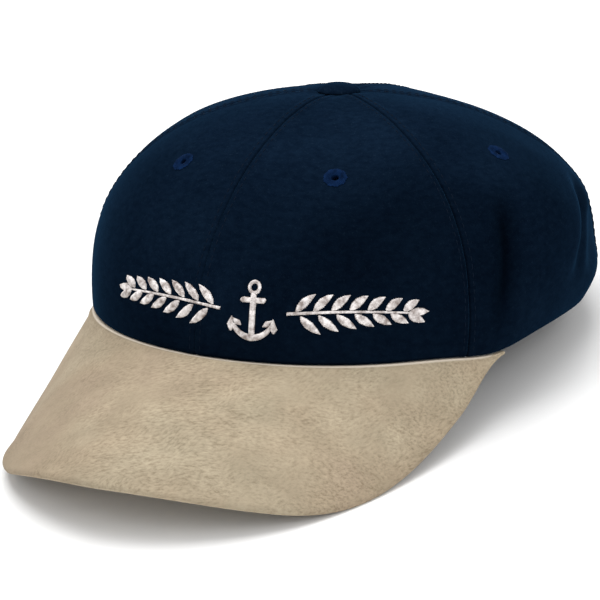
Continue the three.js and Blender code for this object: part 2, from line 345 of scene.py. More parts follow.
def rim_outward(around):
    """Level direction out of the rim, square to the step from just before a point to just after it."""
    step = 0.001
    along = rim(around + step) - rim(around - step)
    level = np.stack([along[..., 1], -along[..., 0], np.zeros_like(along[..., 0])], -1)
    return unit(level)


def peak_outline(along):
    """The peak's even edge in plan: half a superellipse on each side, drawn in along its side, and read at
    even steps of its length."""
    end = rim(np.array(PEAK_END)) + PEAK_LIP * rim_outward(np.array(PEAK_END))
    turn = np.linspace(0, math.pi / 2, 400)
    forward = np.sin(turn) ** (2 / PEAK_CORNER_ALONG)
    side = end[0] * np.cos(turn).clip(0) ** (2 / PEAK_CORNER_ACROSS)
    side = side - PEAK_WAIST * 4 * forward * (1 - forward)
    ahead = end[1] + (-PEAK_FRONT - end[1]) * forward
    travelled = path_length(np.stack([side, ahead], -1), 0)
    share = (1 - np.abs(along)) * travelled[-1]
    return np.sign(along) * np.interp(share, travelled, side), np.interp(share, travelled, ahead)


def board_height(x, y):
    """The board that the peak is cut from: a slope to the front, rolled over a cylinder that tightens
    forwards."""
    roll = PEAK_ROLL_RADIUS * (1 + PEAK_ROLL_TIGHTENING * (y + RIM_HALF_LENGTH))
    return math.tan(PEAK_SLOPE) * (y + RIM_HALF_LENGTH) - roll + np.sqrt(roll**2 - x**2)


def board_normal(x, y):
    """Upward direction square to the board, from its slopes across and along."""
    step = 0.1
    return unit(np.stack([
        (board_height(x - step, y) - board_height(x + step, y)) / (2 * step),
        (board_height(x, y - step) - board_height(x, y + step)) / (2 * step),
        np.ones_like(x),
    ], -1))


def edge_shift(along, edge_x, edge_y):
    """How much further out the edge lies than the even outline: most on the wearer's right of the front,
    fading fast past that corner and slowly along the side."""
    past_corner = 0.7 * smoothstep(-along, 0.38, 0.52) + 0.3 * smoothstep(-along, 0.55, 0.9)
    share = smoothstep(-along, -0.38, 0.08) * (1 - past_corner)
    length = np.hypot(edge_x, edge_y + PEAK_UNEVEN_FROM)
    reach = PEAK_UNEVEN * share / length
    return edge_x * reach, (edge_y + PEAK_UNEVEN_FROM) * reach


def peak_face(along, out):
    """The peak's upper face: straight lines in plan from the rim to the edge, laid on the board, lifted to
    meet the rim at its root and at both ends, cambered in the middle, and a little fuller along the
    wearer's right. Both ends run on to a point under the crown. Its uneven corner stays as high above the
    table as the other one."""
    tuck = smoothstep(np.abs(along), 0.9, 1)
    untucked = rim(PEAK_END * along)
    root = rim((PEAK_END + PEAK_TUCK * tuck) * along)
    edge_x, edge_y = peak_outline(along)
    edge_x = root[..., 0] + (edge_x - untucked[..., 0]) * (1 - PEAK_TUCK_NARROWING * tuck)
    edge_y = root[..., 1] + (edge_y - untucked[..., 1]) * (1 - PEAK_TUCK_NARROWING * tuck)
    shift_x, shift_y = edge_shift(along, edge_x, edge_y)
    even_x = root[..., 0] + (edge_x - root[..., 0]) * out
    even_y = root[..., 1] + (edge_y - root[..., 1]) * out
    x = even_x + shift_x * out
    y = even_y + shift_y * out
    even_height = board_height(even_x, even_y) + PEAK_TABLE_SLOPE * (y - even_y)
    on_board = smoothstep(along, -0.47, -0.3)
    height = even_height + (board_height(x, y) - even_height) * on_board
    at_end = smoothstep(np.abs(along), 0.86, 1)
    lift = (root[..., 2] - board_height(root[..., 0], root[..., 1])) * (
        (1 - out) ** 2 + (1 - (1 - out) ** 2) * at_end)
    camber = 4 * PEAK_CAMBER * out * (1 - out) * (1 - along**2)
    beside = np.exp(-(((along - PEAK_SIDE_FULLNESS_AT) / PEAK_SIDE_FULLNESS_WIDTH) ** 2))
    fuller = PEAK_SIDE_FULLNESS * beside * smoothstep(out, 0, 0.6)
    return np.stack([x, y, height + lift + camber + fuller - PEAK_SEAT_GAP], -1)


def tipped(points):
    """Turns the cap frame back by the resting angle, about the back of the rim."""
    x, y, z = np.moveaxis(points, -1, 0)
    level = y * math.cos(TIP) + z * math.sin(TIP)
    height = (RIM_HALF_LENGTH - y) * math.sin(TIP) + z * math.cos(TIP)
    return np.stack([x, level, height], -1)


def to_table(points):
    """Cap frame in millimetres to the table's frame in metres."""
    return (tipped(points) + np.array([0, FORE_AND_AFT, 0])) * MM


# Crown

def hem_height(around, y):
    """Height of the crown's cut edge: level in front, and on the table at the back."""
    from_back = (1 + np.cos(rim_angle(around))) / 2
    free = smoothstep(from_back, HEM_FLAT, HEM_FREE)
    table = (y - RIM_HALF_LENGTH) * math.tan(TIP)
    return table + (rim(around)[..., 2] - table) * free


def section_value(name, angle):
    """The cubic in the cosine of the angle that passes through the four sections' values."""
    cosines = np.cos(SECTION_ANGLES)
    total = 0
    for i, value in enumerate(CROWN_SECTIONS[name]):
        others = np.delete(cosines, i)
        total = total + value * np.prod(
            [(np.cos(angle) - other) / (cosines[i] - other) for other in others], axis=0)
    return total


def fold_depth(around, up, folds):
    """Sum of the folds: each is a bell across its line, with a ridge on both sides, that fades at both
    ends."""
    total = np.zeros_like(around)
    for low_angle, low, high_angle, high, width, depth, ridge in folds:
        along = (up - low) / (high - low)
        middle = (low_angle + (high_angle - low_angle) * along) * DEG
        across = (around - middle) / (width * DEG)
        fade = np.exp(-((2 * along - 1) ** 4))
        total += depth * fade * (1 - ridge * across**2) * np.exp(-(across**2))
    return total


def crown(around, up):
    """The crown's outer face: each upright section is a cubic curve from the hem to the button, swollen
    between the seams and pushed in by the folds."""
    angle = rim_angle(around)
    foot = rim(around)
    foot_height = hem_height(around, foot[..., 1])
    swell = 1 + PANEL_SWELL * np.abs(np.sin(3 * around)) * np.sin(math.pi * up)
    reach = swell * bezier(1, 1 + section_value("lean", angle), section_value("reach", angle), 0, up)
    shoulder = foot_height + section_value("shoulder", angle) * (CROWN_HEIGHT - foot_height)
    out = np.stack([foot[..., 0], foot[..., 1] + BUTTON_FORWARD], -1)
    out_length = np.linalg.norm(out, axis=-1)
    out = out * (reach + fold_depth(around, up, MAIN_FOLDS) / out_length)[..., None]
    height = bezier(foot_height, shoulder, CROWN_HEIGHT + CROWN_TOP_SWELL, CROWN_HEIGHT, up)
    return np.stack([out[..., 0], out[..., 1] - BUTTON_FORWARD, height], -1)


def crown_normal(around, up):
    """Direction out of the crown: the cross product of its slopes round and upwards."""
    step = 0.002
    across = crown(around + step, up) - crown(around - step, up)
    upwards = crown(around, up + step) - crown(around, up - step)
    return unit(np.cross(across, upwards))


def fullness(up):
    """How far the whole wall stands off the plain crown: nothing at the hem and at the button."""
    return FULLNESS * smoothstep(up, 0.02, 0.3) * (1 - smoothstep(up, 0.9, 0.97))


def cloth_relief(points, around, up, from_seam, from_hem):
    """How far the cloth stands off the plain crown: a welt beside each seam that dips into it as a bell,
    less so low on the front, puckers along its stitches, a rolled hem, and soft waves, most of them on the
    side and back panels."""
    welt = SEAM_WELT * (1 - smoothstep(from_seam, SEAM_WELT_WIDTH - SEAM_WELT_EDGE, SEAM_WELT_WIDTH))
    front = 1 - smoothstep(np.abs(around), 20 * DEG, 40 * DEG)
    pressed = 1 - FRONT_SEAM_PRESSED * front * (1 - smoothstep(up, 0.35, 0.6))
    dip = SEAM_DIP * pressed * np.exp(-((from_seam / SEAM_DIP_WIDTH) ** 2))
    beside = np.exp(-((from_seam - STITCH_FROM_SEAM) / PUCKER_REACH) ** 2)
    pucker = PUCKER * beside * waves(points, PUCKER_PITCH, 3)
    hem = HEM_ROLL * np.exp(-((from_hem / HEM_ROLL_WIDTH) ** 2))
    softness = FRONT_SLACK + (1 - FRONT_SLACK) * smoothstep(np.abs(around), 52 * DEG, 80 * DEG)
    long_slack = LONG_SLACK * waves(points, LONG_SLACK_PITCH, 11)
    short_slack = SHORT_SLACK * waves(points, SHORT_SLACK_PITCH, 12)
    slack = softness * (long_slack + short_slack)
    slack = slack * smoothstep(up, 0.0, 0.1) * (1 - smoothstep(up, 0.85, 0.97))
    return welt - dip + pucker - hem + slack + fullness(up)


def cloth_shade(around, up, from_seam, from_hem):
    """Share of the light that is lost: one less the product of what each place leaves. The places are the
    folds, the seams, the front just above the peak, the hem's edge, the crown's lower half, and a round
    patch low on the left front. The last two only bring the tones nearer to the photo's."""
    folds = fold_depth(around, up, FOLD_SHADES)
    seams = SEAM_SHADE * np.exp(-((from_seam / SEAM_SHADE_WIDTH) ** 2))
    front = 1 - smoothstep(np.abs(around), 55 * DEG, 95 * DEG)
    above_peak = ABOVE_PEAK_SHADE * front * (1 - smoothstep(from_hem, 0, ABOVE_PEAK_HEIGHT))
    edge = HEM_SHADE * (1 - smoothstep(from_hem, 0.2, 1.4))
    lower = LOWER_SHADE * (1 - smoothstep(up, 0.33, 0.68))
    patch_across = (around - PATCH_ANGLE) / PATCH_WIDTH
    patch_up = (up - PATCH_UP) / PATCH_HEIGHT
    patch = PATCH_SHADE * np.exp(-(patch_across**2) - patch_up**2)
    kept = (1 - folds) * (1 - seams) * (1 - above_peak) * (1 - edge)
    return 1 - kept * (1 - lower) * (1 - patch)


def dressed_crown(around, up, from_seam, from_hem):
    """The cloth's outer face: the plain crown, moved out along its normal by the relief."""
    base = crown(around, up)
    relief = cloth_relief(base, around, up, from_seam, from_hem)
    return base + relief[..., None] * crown_normal(around, up)


# Meshes

def closed_sheet(front, back):
    """Two matching grids of points closed into one sheet: the back one faces the other way, and a strip of
    faces joins their borders."""
    rows, columns = front.shape[:2]
    index = np.arange(rows * columns).reshape(rows, columns)
    a, b, c, d = index[:-1, :-1], index[:-1, 1:], index[1:, 1:], index[1:, :-1]
    outside = np.stack([a, b, c, d], -1).reshape(-1, 4)
    inside = np.stack([a, d, c, b], -1).reshape(-1, 4) + rows * columns
    border = np.concatenate([index[0, :-1], index[:-1, -1], index[-1, :0:-1], index[:0:-1, 0]])
    after = np.roll(border, -1)
    wall = np.stack([border, border + rows * columns, after + rows * columns, after], -1)
    points = np.concatenate([front.reshape(-1, 3), back.reshape(-1, 3)])
    return points, np.concatenate([outside, inside, wall])


def closed_rings(rings):
    """A body skinned over rings of points, one after another and joined back to the first."""
    rows, columns = rings.shape[:2]
    index = np.arange(rows * columns).reshape(rows, columns)
    below = np.roll(index, -1, axis=0)
    faces = np.stack([index, np.roll(index, -1, 1), np.roll(below, -1, 1), below], -1)
    return rings.reshape(-1, 3), faces.reshape(-1, 4)


def joined(bodies):
    """Several bodies as one list of points and one list of faces."""
    counts = np.cumsum([0] + [len(points) for points, _ in bodies])
    points = np.concatenate([points for points, _ in bodies])
    faces = np.concatenate([faces + count for (_, faces), count in zip(bodies, counts)])
    return points, faces


def make_piece(name, points, faces, material, uv=None, shade=None):
    """Puts arrays of points and four-sided faces into a smooth mesh object at the origin, with a place on
    the cloth and a share of lost light for each point where they are given."""
    mesh = bpy.data.meshes.new(name)
    mesh.vertices.add(len(points))
    mesh.vertices.foreach_set("co", np.ascontiguousarray(points, np.float32).ravel())
    mesh.loops.add(faces.size)
    mesh.loops.foreach_set("vertex_index", faces.astype(np.int32).ravel())
    mesh.polygons.add(len(faces))
    mesh.polygons.foreach_set("loop_start", np.arange(0, faces.size, 4, dtype=np.int32))
    mesh.polygons.foreach_set("use_smooth", np.ones(len(faces), bool))
    if uv is not None:
        layer = mesh.uv_layers.new(name="cloth")
        layer.uv.foreach_set("vector", uv[faces.ravel()].astype(np.float32).ravel())
    if shade is not None:
        layer = mesh.attributes.new("shade", "FLOAT", "POINT")
        layer.data.foreach_set("value", shade.astype(np.float32).ravel())
    mesh.update(calc_edges=True)
    mesh.validate()
    mesh.materials.append(material)
    piece = bpy.data.objects.new(name, mesh)
    bpy.context.scene.collection.objects.link(piece)
    return piece


def place(piece, slot, *nodes):
    """Lets a piece ride the cap's body and hides the solids that it stands for. Its slot, the name of its
    finish, is not used.
    """
    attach(piece, "root")
    if nodes:
        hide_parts(*nodes)


# Materials

def new_material(name, roughness, sheen, sheen_tint, sheen_roughness=0.4, specular=0.3):
    """A plain material with its roughness, gloss and sheen, its node tree, and its shader."""
    material = bpy.data.materials.new(name)
    material.use_nodes = True
    shader = material.node_tree.nodes["Principled BSDF"]
    shader.inputs["Roughness"].default_value = roughness
    shader.inputs["Specular IOR Level"].default_value = specular
    shader.inputs["Sheen Weight"].default_value = sheen
    shader.inputs["Sheen Tint"].default_value = (*sheen_tint, 1)
    shader.inputs["Sheen Roughness"].default_value = sheen_roughness
    return material, material.node_tree, shader


def add_noise(tree, scale, detail=3.0, stretch=1.0, turn=0.0, roughness=0.5, source="Object"):
    """Noise over the piece's own coordinates. scale is in cycles to the metre, stretch makes its grain so
    many times as long, and turn is the direction of the grain in degrees from X."""
    coordinates = tree.nodes.new("ShaderNodeTexCoord")
    mapping = tree.nodes.new("ShaderNodeMapping")
    mapping.vector_type = "TEXTURE"
    mapping.inputs["Rotation"].default_value = (0, 0, turn * DEG)
    mapping.inputs["Scale"].default_value = (stretch, 1, 1)
    noise = tree.nodes.new("ShaderNodeTexNoise")
    noise.inputs["Scale"].default_value = scale
    noise.inputs["Detail"].default_value = detail
    noise.inputs["Roughness"].default_value = roughness
    tree.links.new(coordinates.outputs[source], mapping.inputs["Vector"])
    tree.links.new(mapping.outputs["Vector"], noise.inputs["Vector"])
    return noise.outputs["Fac"]


def add_ramp(tree, factor, stops):
    """Turns a factor into a colour along the stops, each a position and a colour."""
    ramp = tree.nodes.new("ShaderNodeValToRGB")
    elements = ramp.color_ramp.elements
    while len(elements) < len(stops):
        elements.new(0.5)
    for element, (position, colour) in zip(elements, stops):
        element.position = position
        element.color = (*colour, 1)
    tree.links.new(factor, ramp.inputs["Fac"])
    return ramp.outputs["Color"]


def add_mix(tree, factor, first, second, blend="MIX"):
    """Blends two colours by a factor. Each of the three is a socket or a plain value."""
    mix = tree.nodes.new("ShaderNodeMix")
    mix.data_type = "RGBA"
    mix.blend_type = blend
    for socket, value in (("Factor", factor), ("A", first), ("B", second)):
        target = next(s for s in mix.inputs if s.name == socket and s.type == (
            "VALUE" if socket == "Factor" else "RGBA"))
        if isinstance(value, bpy.types.NodeSocket):
            tree.links.new(value, target)
        elif socket == "Factor":
            target.default_value = value
        else:
            target.default_value = (*value, 1)
    return next(s for s in mix.outputs if s.type == "RGBA")


def add_math(tree, operation, first, second):
    """Joins two numbers by one operation. Each is a socket or a plain value."""
    node = tree.nodes.new("ShaderNodeMath")
    node.operation = operation
    for target, value in zip(node.inputs, (first, second)):
        if isinstance(value, bpy.types.NodeSocket):
            tree.links.new(value, target)
        else:
            target.default_value = value
    return node.outputs[0]


def add_bump(tree, shader, height, distance, strength=1.0, below=None):
    """Low relief: a height in metres at its full value, on top of the relief below."""
    bump = tree.nodes.new("ShaderNodeBump")
    bump.inputs["Distance"].default_value = distance
    bump.inputs["Strength"].default_value = strength
    tree.links.new(height, bump.inputs["Height"])
    if below is not None:
        tree.links.new(below, bump.inputs["Normal"])
    tree.links.new(bump.outputs["Normal"], shader.inputs["Normal"])
    return bump.outputs["Normal"]


def add_shade(tree, colour, deep):
    """Turns the colour towards a deep one by the share that the mesh carries for each of its points."""
    share = tree.nodes.new("ShaderNodeAttribute")
    share.attribute_name = "shade"
    return add_mix(tree, share.outputs["Fac"], colour, deep)


def add_twill(tree, pitch):
    """Diagonal ribs of the weave, as a sine across the cloth's own length and height. At a scale of 1 they
    stand 0.444 m apart, so the scale is that over the pitch in metres."""
    coordinates = tree.nodes.new("ShaderNodeTexCoord")
    wave = tree.nodes.new("ShaderNodeTexWave")
    wave.wave_type = "BANDS"
    wave.bands_direction = "DIAGONAL"
    wave.inputs["Scale"].default_value = 0.444 / pitch
    wave.inputs["Distortion"].default_value = 0.8
    wave.inputs["Detail"].default_value = 1.0
    wave.inputs["Detail Scale"].default_value = 2.0
    tree.links.new(coordinates.outputs["UV"], wave.inputs["Vector"])
    return wave.outputs["Fac"]


def navy_twill():
    """Brushed cotton: dark navy, cloudier where it is rubbed, with fine lint and a diagonal weave."""
    material, tree, shader = new_material(
        "navy_brushed_twill", 0.95, 0.08, (0.14, 0.48, 1.0), sheen_roughness=0.3, specular=0.0)
    cloud = add_noise(tree, 26, 4, roughness=0.55)
    base = add_ramp(tree, cloud, (
        (0.30, (0.0021, 0.0059, 0.0142)),
        (0.50, (0.0027, 0.0075, 0.0178)),
        (0.70, (0.0036, 0.0099, 0.0226)),
    ))
    rubbed = add_noise(tree, 420, 3, stretch=1.5, source="UV", roughness=0.65)
    rubbed_tone = add_ramp(tree, rubbed, ((0.32, (0.74, 0.77, 0.80)), (0.68, (1.28, 1.25, 1.20))))
    toned = add_mix(tree, 1.0, base, rubbed_tone, "MULTIPLY")
    lint = add_noise(tree, 1300, 2, roughness=0.7)
    flecks = add_ramp(tree, lint, ((0.58, (0, 0, 0)), (0.76, (0.0035, 0.0065, 0.0095))))
    colour = add_mix(tree, 1.0, toned, flecks, "ADD")
    tree.links.new(add_shade(tree, colour, (0.0, 0.0, 0.0)), shader.inputs["Base Color"])
    twill = add_twill(tree, 0.0006)
    nap = add_noise(tree, 900, 3, roughness=0.65)
    weave = add_bump(tree, shader, twill, 0.00008, 0.35)
    add_bump(tree, shader, nap, 0.0002, 0.4, weave)
    return material


def tan_suede():
    """Suede: warm tan with soft patches where the nap lies different ways, short strokes of the nap, and a
    painted highlight, a pale line where it turns under the crown. Its UV is the place along the edge and
    the distance from the crown, in metres."""
    material, tree, shader = new_material(
        "tan_napped_suede", 0.97, 0.12, (1.0, 0.93, 0.82), sheen_roughness=0.5, specular=0.08)
    patches = add_noise(tree, 24, 3, roughness=0.5)
    base = add_ramp(tree, patches, (
        (0.32, (0.323, 0.255, 0.183)),
        (0.50, (0.343, 0.279, 0.196)),
        (0.68, (0.364, 0.308, 0.220)),
    ))
    clouds = add_noise(tree, 95, 3, stretch=1.8, turn=20, roughness=0.5)
    cloud_tone = add_ramp(tree, clouds, ((0.30, (0.90, 0.90, 0.89)), (0.70, (1.09, 1.09, 1.09))))
    toned = add_mix(tree, 1.0, base, cloud_tone, "MULTIPLY")
    level_strokes = add_noise(tree, 1150, 3, stretch=2.3, turn=28, roughness=0.65)
    slanted_strokes = add_noise(tree, 1100, 3, stretch=2.2, turn=72, roughness=0.65)
    lie = add_ramp(tree, add_noise(tree, 70, 2), ((0.50, (0, 0, 0)), (0.60, (1, 1, 1))))
    strokes = add_mix(tree, lie, level_strokes, slanted_strokes)
    stroke_tone = add_ramp(tree, strokes, (
        (0.34, (0.74, 0.72, 0.69)),
        (0.50, (1, 1, 1)),
        (0.68, (1.20, 1.20, 1.20)),
    ))
    raised = add_ramp(tree, add_noise(tree, 30, 2), ((0.38, (0.35, 0.35, 0.35)), (0.58, (1, 1, 1))))
    brushed = add_mix(tree, raised, toned, add_mix(tree, 1.0, toned, stroke_tone, "MULTIPLY"))
    coordinates = tree.nodes.new("ShaderNodeTexCoord")
    places = tree.nodes.new("ShaderNodeSeparateXYZ")
    tree.links.new(coordinates.outputs["UV"], places.inputs["Vector"])
    # The painted highlight, a pale line, fades between 0.35 and 0.65 mm from the crown, here in centimetres
    from_crown = add_math(tree, "MULTIPLY", places.outputs["Y"], 100.0)
    painted_highlight = add_ramp(tree, from_crown, ((0.035, (1, 1, 1)), (0.065, (0, 0, 0))))
    shaded = add_shade(tree, brushed, (0.09, 0.045, 0.02))
    colour = add_mix(tree, painted_highlight, shaded, (0.58, 0.51, 0.42))
    tree.links.new(colour, shader.inputs["Base Color"])
    speckle = add_noise(tree, 1700, 2, roughness=0.7)
    lie_bump = add_bump(tree, shader, strokes, 0.0004, 0.6)
    add_bump(tree, shader, speckle, 0.0002, 0.5, lie_bump)
    return material


def satin_thread(name, dark, light, roughness, sheen, specular=0.4):
    """Thread: a satin gloss or a dull one, and a tone that varies from stitch to stitch."""
    material, tree, shader = new_material(name, roughness, sheen, light, specular=specular)
    tone = add_noise(tree, 420, 2, roughness=0.6)
    colour = add_ramp(tree, tone, ((0.30, dark), (0.66, light)))
    tree.links.new(colour, shader.inputs["Base Color"])
    fibre = add_noise(tree, 2600, 2, roughness=0.6)
    add_bump(tree, shader, fibre, 0.00008, 0.5)
    return material


def pale_floor():
    """A matt, nearly white floor."""
    material, _, shader = new_material("pale_floor", 0.9, 0.0, (1, 1, 1))
    shader.inputs["Base Color"].default_value = (0.93, 0.93, 0.93, 1)
    return material


# Crown pieces

def panel_grid(start, end, rows, columns, gap):
    """Angles and heights over one panel, crowded towards its seams, its hem and the button. Each seam's
    half gap is an angle: its width over the distance from the button's axis."""
    up = PANEL_TOP * bunched(rows, ROW_CROWDING)[:, None]
    across = bunched(columns, COLUMN_CROWDING)[None, :]
    up, across = np.broadcast_arrays(up, across)
    seams = [crown(np.full(rows, seam * DEG), up[:, 0]) for seam in (start, end)]
    inset = [gap / 2 / np.hypot(seam[:, 0], seam[:, 1] + BUTTON_FORWARD) for seam in seams]
    first = (start * DEG + inset[0])[:, None]
    last = (end * DEG - inset[1])[:, None]
    return first + (last - first) * across, np.array(up)


def crown_panel(name, start, end, material):
    """A panel: the dressed crown outside, and the plain crown a cloth thickness further in. Its UV is the
    distance from its middle and up from the hem, in metres."""
    around, up = panel_grid(start, end, PANEL_ROWS, PANEL_COLUMNS, SEAM_GAP)
    base = crown(around, up)
    across = path_length(base, 1)
    upwards = path_length(base, 0)
    from_seam = np.minimum(across, across[:, -1:] - across)
    outer = dressed_crown(around, up, from_seam, upwards)
    inner = base + (fullness(up) - CLOTH_THICKNESS)[..., None] * crown_normal(around, up)
    edge = base[0] - CLOTH_THICKNESS * rim_outward(around[0])
    edge[:, 2] = hem_height(around[0], edge[:, 1])
    inner[0] = edge
    points, faces = closed_sheet(outer, inner)
    cloth = np.stack([across - across[:, -1:] / 2, upwards], -1).reshape(-1, 2) * MM
    shade = cloth_shade(around, up, from_seam, upwards)
    panel = make_piece(f"panel_{name}", to_table(points), faces, material,
                       np.concatenate([cloth, cloth]), np.stack([shade, 0 * shade]))
    drill_hole(panel, *EYELETS[name])
    place(panel, "navy_twill", f"crown_{name}")


def seat_axes(around, up):
    """Middle and three axes of a round fitting that sits square on the cloth, away from the seams."""
    around, up = np.array(around, float), np.array(up, float)
    out = crown_normal(around, up)
    middle = crown(around, up)
    middle = middle + cloth_relief(middle, around, up, FAR, FAR) * out
    side = unit(np.cross(np.array([0.0, 0.0, 1.0]), out))
    return middle, side, np.cross(out, side), out


def turned_ring(seat, radii, heights, turns):
    """A closed ring: the profile's radii and heights, one column for each turn, round the seat's axis."""
    middle, side, rise, out = seat
    return (middle + (radii * np.cos(turns))[..., None] * side
            + (radii * np.sin(turns))[..., None] * rise + heights[..., None] * out)


def drill_hole(panel, angle, up):
    """Cuts a round hole through the panel for its eyelet."""
    seat = seat_axes(angle * DEG, up)
    turns = np.linspace(0, 2 * math.pi, 40, endpoint=False)[None, :]
    radii = np.array([POLE, EYELET_CLOTH_HOLE, EYELET_CLOTH_HOLE, POLE])[:, None] + 0 * turns
    heights = EYELET_DRILL * np.array([-1, -1, 1, 1])[:, None] + 0 * turns
    rings = turned_ring(seat, radii, heights, turns + 0 * radii)
    points, faces = closed_rings(rings)
    cutter = make_piece("eyelet_cutter", to_table(points), faces, panel.data.materials[0])
    cut = panel.modifiers.new("eyelet_hole", "BOOLEAN")
    cut.operation = "DIFFERENCE"
    cut.solver = "MANIFOLD"
    cut.object = cutter
    settled = panel.evaluated_get(bpy.context.evaluated_depsgraph_get())
    panel.data = bpy.data.meshes.new_from_object(settled)
    panel.modifiers.clear()
    bpy.data.objects.remove(cutter)


def eyelet(name, angle, up, material):
    """A sewn eyelet: a half-round ring of radial stitches, each a ridge from the hole to the rim, with a
    rim that wanders by two sines. Underneath, it reaches through the cloth."""
    seat = seat_axes(angle * DEG, up)
    turns = np.linspace(0, 2 * math.pi, EYELET_THREADS * 6, endpoint=False)[None, :]
    middle_radius = (EYELET_RADIUS + EYELET_HOLE) / 2
    half = (EYELET_RADIUS - EYELET_HOLE) / 2
    round_profile = np.linspace(0, math.pi, 15)[:, None]
    uneven = 0.16 * np.sin(turns * 9 + 1.3 * angle) + 0.12 * np.sin(turns * 23)
    ridge = 0.5 + 0.5 * np.cos(turns * EYELET_THREADS + 0.8 * round_profile)
    out = 1 - smoothstep(round_profile, 0.0, 0.9)
    top_radii = middle_radius + (half + out * uneven) * np.cos(round_profile)
    top_heights = EYELET_SEAT + np.sin(round_profile) * (EYELET_RISE + EYELET_THREAD_RISE * ridge)
    under_radii = np.array([EYELET_HOLE, EYELET_HOLE + 0.3, EYELET_RADIUS - 0.4])[:, None] + 0 * turns
    under_heights = np.array([-2.3, -2.5, -0.25])[:, None] + 0 * turns
    radii = np.concatenate([top_radii + 0 * turns, under_radii])
    heights = np.concatenate([top_heights, under_heights])
    rings = turned_ring(seat, radii, heights, turns + 0 * radii)
    points, faces = closed_rings(rings[::-1])
    ring = make_piece(f"eyelet_ring_{name}", to_table(points), faces, material)
    place(ring, "eyelet_thread", f"eyelet_{name}")


def cap_button(material):
    """The covered button: a dome whose cloth is gathered under its edge by a cosine, on a shank. Its
    profile runs from the shank's foot up, out under the dome, and over to its top."""
    middle = np.array([0.0, -BUTTON_FORWARD, CROWN_HEIGHT])
    seat = (middle, np.array([1.0, 0, 0]), np.array([0, 1.0, 0]), np.array([0, 0, 1.0]))
    turns = np.linspace(0, 2 * math.pi, 120, endpoint=False)[None, :]
    lift = np.linspace(0, math.pi / 2, 26)[:, None]
    dome_radii = BUTTON_RADIUS * np.cos(lift) ** 0.8
    dome_heights = BUTTON_EDGE + (BUTTON_RISE - BUTTON_EDGE) * np.sin(lift)
    gather = BUTTON_GATHER * np.cos(turns * BUTTON_GATHERS) * np.cos(lift) ** 4
    dome_radii = np.maximum(dome_radii + gather, POLE)
    under_radii = np.array([POLE, 5.4, 5.5, 5.4, 2.2, 2.2, 7.2])[:, None] + 0 * turns
    under_heights = np.array([-3.1, -3.1, -2.8, -2.4, -2.3, 0.2, 0.15])[:, None] + 0 * turns
    radii = np.concatenate([under_radii, dome_radii])
    heights = np.concatenate([under_heights, dome_heights + 0 * turns])
    rings = turned_ring(seat, radii, heights, turns + 0 * radii)
    points, faces = closed_rings(rings)
    level = np.stack([radii * np.cos(turns), radii * np.sin(turns)], -1).reshape(-1, 2) * MM
    button = make_piece("covered_button", to_table(points), faces, material, level)
    place(button, "navy_twill", "button")


def stitch_bodies(points, normals, length, radius):
    """One small rounded stitch between each pair of neighbouring points: rings of six points round a line
    that dips into the cloth at both ends, each end closed by two faces."""
    start, end = points[:-1], points[1:]
    ahead = unit(end - start)
    up = unit(normals[:-1] + normals[1:])
    side = np.cross(up, ahead)
    middle = (start + end) / 2
    reach = np.array([-1.0, -0.82, -0.3, 0.3, 0.82, 1.0])
    girth = np.array([0.12, 0.75, 1.0, 1.0, 0.75, 0.12])
    sink = np.array([-0.9, -0.2, 0.35, 0.35, -0.2, -0.9])
    turns = np.arange(STITCH_SIDES) * 2 * math.pi / STITCH_SIDES
    rings = (middle[:, None, None] + (reach * length / 2)[None, :, None, None] * ahead[:, None, None]
             + (girth[:, None] * np.cos(turns) * radius)[None, :, :, None] * side[:, None, None]
             + (girth[:, None] * np.sin(turns) * radius + sink[:, None] * radius)[None, :, :, None]
             * up[:, None, None])
    count = len(middle)
    size = len(reach) * STITCH_SIDES
    index = np.arange(size).reshape(len(reach), STITCH_SIDES)
    beside = np.roll(index, -1, 1)
    skin = np.stack([index[:-1], beside[:-1], beside[1:], index[1:]], -1).reshape(-1, 4)
    first_end = np.array([[3, 2, 1, 0], [5, 4, 3, 0]])
    last_end = np.array([[0, 1, 2, 3], [0, 3, 4, 5]]) + size - STITCH_SIDES
    template = np.concatenate([skin, first_end, last_end])
    faces = template[None] + size * np.arange(count)[:, None, None]
    return rings.reshape(-1, 3), faces.reshape(-1, 4)


def seam_stitches(material):
    """A row of stitches on each side of every seam, from the hem to the button."""
    bodies = []
    up = np.linspace(STITCH_START, STITCH_STOP, 400)
    for seam in (0, 60, 120, 180, -120, -60):
        for side in (-1, 1):
            line = crown(np.full_like(up, seam * DEG), up)
            reach = np.hypot(line[:, 0], line[:, 1] + BUTTON_FORWARD)
            around = seam * DEG + side * STITCH_FROM_SEAM / reach
            line = crown(around, up)
            travelled = path_length(line, 0)
            count = int(travelled[-1] / STITCH_PITCH)
            marks = np.interp(np.arange(count + 1) * STITCH_PITCH, travelled, up)
            around = np.interp(marks, up, around)
            away = np.full(count + 1, STITCH_FROM_SEAM)
            from_hem = path_length(crown(around, marks), 0) + 2
            seated = dressed_crown(around, marks, away, from_hem)
            outward = crown_normal(around, marks)
            bodies.append(stitch_bodies(seated, outward, STITCH_LENGTH, STITCH_RADIUS))
    points, faces = joined(bodies)
    piece = make_piece("seam_stitches", to_table(points), faces, material)
    place(piece, "navy_twill")


# Embroidered motif: an anchor between two leafy sprays, in raised satin stitch

